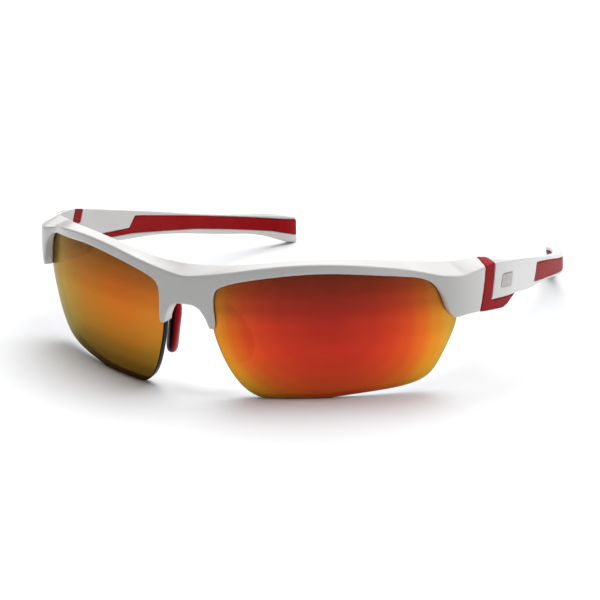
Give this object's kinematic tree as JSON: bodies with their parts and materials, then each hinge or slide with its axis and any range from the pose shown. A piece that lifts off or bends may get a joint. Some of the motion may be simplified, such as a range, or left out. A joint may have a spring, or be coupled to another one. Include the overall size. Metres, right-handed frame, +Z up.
{
  "type": "wraparound sport sunglasses",
  "caption": "Half-rim wraparound sunglasses: a moulded front with curved mirror lenses, rubber nose pads, and screw-hinged arms with rubber grips that fold behind the front.",
  "frame": {"origin": "centre of the bounding box in X and Y, at the plane that the lens bottoms and the arm tips stand on", "axes": "+X towards the wearer's left, +Y from the bridge back to the arm tips, +Z up"},
  "size_m": [0.1482, 0.1582, 0.0418],
  "materials": {
    "frame_plastic": "white high-gloss injection-moulded nylon",
    "lens_left_coating": "smoke polycarbonate with a red-orange mirror coating that turns yellow at the rim",
    "lens_right_coating": "smoke polycarbonate with a red-orange mirror coating that turns yellow at the rim",
    "pad_rubber": "soft satin dark red rubber",
    "trim_rubber": "satin dark red rubber with a fine grain",
    "core_wire": "plain drawn steel wire",
    "screw_steel": "turned steel",
    "insert_brass": "turned brass",
    "badge_grey": "satin grey plaque"
  },
  "bodies": {
    "front": {"front_frame": "frame_plastic", "lens_left": "lens_left_coating", "lens_right": "lens_right_coating", "nose_pad_left": "pad_rubber", "nose_pad_right": "pad_rubber", "nose_pad_core_left": "core_wire", "nose_pad_core_right": "core_wire", "hinge_screw_left": "screw_steel", "hinge_screw_right": "screw_steel", "hinge_insert_left": "insert_brass", "hinge_insert_right": "insert_brass"},
    "temple_left": {"temple_arm_left": "frame_plastic", "temple_band_left": "trim_rubber", "temple_grip_inner_left": "trim_rubber", "temple_grip_outer_left": "trim_rubber", "temple_badge_left": "badge_grey"},
    "temple_right": {"temple_arm_right": "frame_plastic", "temple_band_right": "trim_rubber", "temple_grip_inner_right": "trim_rubber", "temple_grip_outer_right": "trim_rubber", "temple_badge_right": "badge_grey"}
  },
  "joints": [
    {"name": "fold_left", "type": "hinge", "parent": "front", "child": "temple_left", "pos_m": [0.067, -0.02741, 0.0264], "axis": [0, 0, 1], "range_deg": [0, 92]},
    {"name": "fold_right", "type": "hinge", "parent": "front", "child": "temple_right", "pos_m": [-0.067, -0.02741, 0.0264], "axis": [0, 0, -1], "range_deg": [0, 77]}
  ]
}
